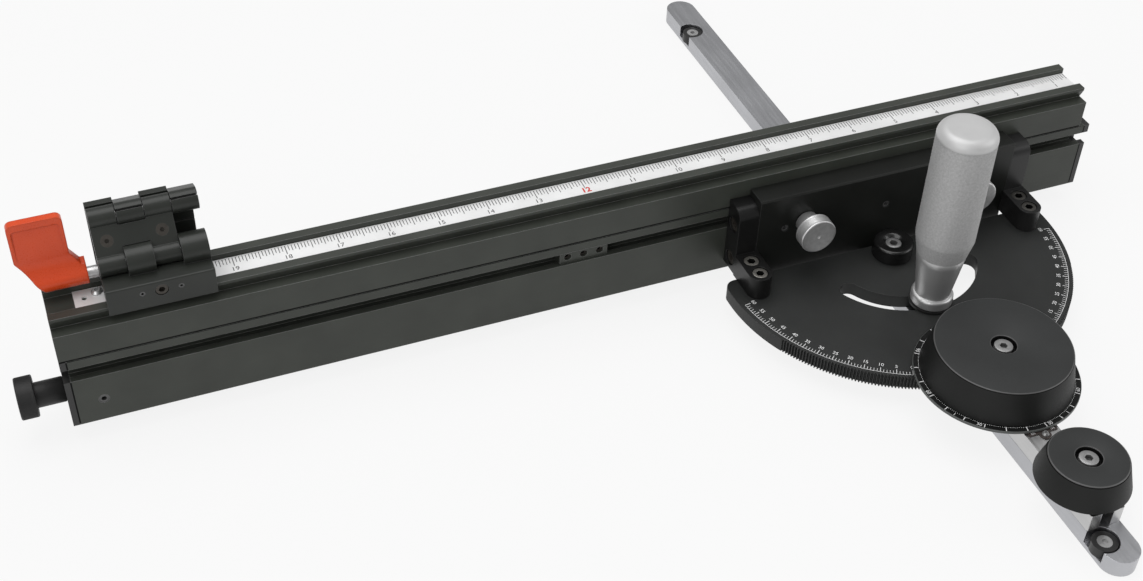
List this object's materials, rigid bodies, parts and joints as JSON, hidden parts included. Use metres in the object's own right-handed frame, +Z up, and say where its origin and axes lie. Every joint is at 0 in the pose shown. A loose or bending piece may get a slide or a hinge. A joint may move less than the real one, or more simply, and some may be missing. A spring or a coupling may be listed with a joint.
{
  "type": "miter gauge",
  "caption": "Miter gauge: guide bar, swivelling protractor head with toothed rim and fine-adjust wheel, telescoping fence with rule, and flip stop.",
  "frame": {"origin": "on the swivel axis, in the plane of the guide bar's underside", "axes": "+X along the fence to its short end, +Y the feed direction from the handle to the fence, +Z up"},
  "size_m": [0.5833, 0.498, 0.1275],
  "materials": {
    "brushed_aluminium": "brushed",
    "anodised_plate": "satin anodised",
    "anodised_extrusion": "satin anodised",
    "blasted_handle": "blasted",
    "black_plastic": "matt",
    "gloss_black": "gloss",
    "red_plastic": "semi-gloss",
    "bright_steel": "bright",
    "black_steel": "black oxide",
    "rule_steel": "satin"
  },
  "bodies": {
    "guide_bar": {"miter_bar": "brushed_aluminium", "glide_discs": "black_plastic", "glide_screws": "bright_steel", "guide_pin": "bright_steel", "pivot_bushing": "gloss_black", "pivot_screw": "bright_steel"},
    "micro_adjuster": {"micro_block": "brushed_aluminium", "pointer_plate": "black_steel", "pointer_screw": "bright_steel"},
    "wheel": {"pinion": "bright_steel", "wheel_spindle": "bright_steel", "index_dial": "anodised_plate", "micro_wheel": "black_plastic", "wheel_screw": "bright_steel"},
    "lock": {"lock_washer": "bright_steel", "lock_knob": "black_plastic", "lock_screw": "bright_steel"},
    "handle": {"clamp_handle": "blasted_handle", "handle_washer": "black_plastic", "handle_stud": "bright_steel"},
    "head": {"protractor_plate": "anodised_plate", "carrier_plate": "anodised_plate", "carrier_set_screws": "bright_steel", "left_bracket": "gloss_black", "right_bracket": "gloss_black", "bracket_foot_screws": "bright_steel", "bracket_end_screws": "black_steel", "slot_nuts": "bright_steel"},
    "left_clamp": {"left_thumbscrew": "bright_steel"},
    "right_clamp": {"right_thumbscrew": "bright_steel"},
    "fence": {"fence_rail": "anodised_extrusion", "left_end_cap": "black_plastic", "right_end_cap": "black_plastic", "cap_set_screw": "black_steel", "slot_stop": "anodised_extrusion", "slot_stop_screws": "bright_steel"},
    "end_lock": {"end_thumbscrew": "black_plastic"},
    "extension": {"fence_extension": "anodised_extrusion", "rule_strip": "rule_steel", "rule_screw": "bright_steel"},
    "stop": {"stop_block": "anodised_plate", "clamp_jaw": "anodised_plate", "jaw_screw": "bright_steel", "stop_set_screws": "bright_steel", "lower_hinge_pin": "bright_steel"},
    "lever": {"lever_shaft": "bright_steel", "clamp_lever": "red_plastic"},
    "link": {"stop_link": "anodised_plate", "link_screws": "black_steel", "upper_hinge_pin": "bright_steel"},
    "arm": {"flip_arm": "anodised_plate"}
  },
  "joints": [
    {"name": "block_slide", "type": "slide", "parent": "guide_bar", "child": "micro_adjuster", "axis": [0, 1, 0], "range_m": [-0.003, 0]},
    {"name": "wheel_turn", "type": "hinge", "parent": "micro_adjuster", "child": "wheel", "pos_m": [0, -0.10133, 0.02], "axis": [0, 0, 1], "range_deg": [-900, 900]},
    {"name": "lock_turn", "type": "hinge", "parent": "guide_bar", "child": "lock", "pos_m": [0, -0.17393, 0.02], "axis": [0, 0, 1], "range_deg": [0, 180]},
    {"name": "handle_turn", "type": "hinge", "parent": "guide_bar", "child": "handle", "pos_m": [0, -0.0402, 0.02], "axis": [0, 0, 1], "range_deg": [0, 180]},
    {"name": "head_swivel", "type": "hinge", "parent": "guide_bar", "child": "head", "pos_m": [0, 0, 0.01], "axis": [0, 0, 1], "range_deg": [-60, 60]},
    {"name": "left_clamp_turn", "type": "hinge", "parent": "head", "child": "left_clamp", "pos_m": [-0.0484, 0.005, 0.0432], "axis": [0, 1, 0], "range_deg": [0, 180]},
    {"name": "right_clamp_turn", "type": "hinge", "parent": "head", "child": "right_clamp", "pos_m": [0.0484, 0.005, 0.0432], "axis": [0, 1, 0], "range_deg": [0, 180]},
    {"name": "fence_slide", "type": "slide", "parent": "head", "child": "fence", "axis": [1, 0, 0], "range_m": [-0.06, 0.06]},
    {"name": "end_lock_turn", "type": "hinge", "parent": "fence", "child": "end_lock", "pos_m": [-0.43, 0.0388, 0.0244], "axis": [1, 0, 0], "range_deg": [0, 180]},
    {"name": "extension_slide", "type": "slide", "parent": "fence", "child": "extension", "axis": [1, 0, 0], "range_m": [-0.25, 0]},
    {"name": "stop_slide", "type": "slide", "parent": "extension", "child": "stop", "axis": [1, 0, 0], "range_m": [-0.02, 0.44]},
    {"name": "lever_turn", "type": "hinge", "parent": "stop", "child": "lever", "pos_m": [-0.4, 0.04905, 0.082], "axis": [1, 0, 0], "range_deg": [0, 90]},
    {"name": "link_hinge", "type": "hinge", "parent": "stop", "child": "link", "pos_m": [-0.3752, 0.04245, 0.0892], "axis": [1, 0, 0], "range_deg": [0, 100]},
    {"name": "arm_hinge", "type": "hinge", "parent": "link", "child": "arm", "pos_m": [-0.3752, 0.05505, 0.1073], "axis": [1, 0, 0], "range_deg": [0, 90]}
  ],
  "couplings": [
    {"joint": "wheel_turn", "follows": "head_swivel", "ratio": -15}
  ]
}
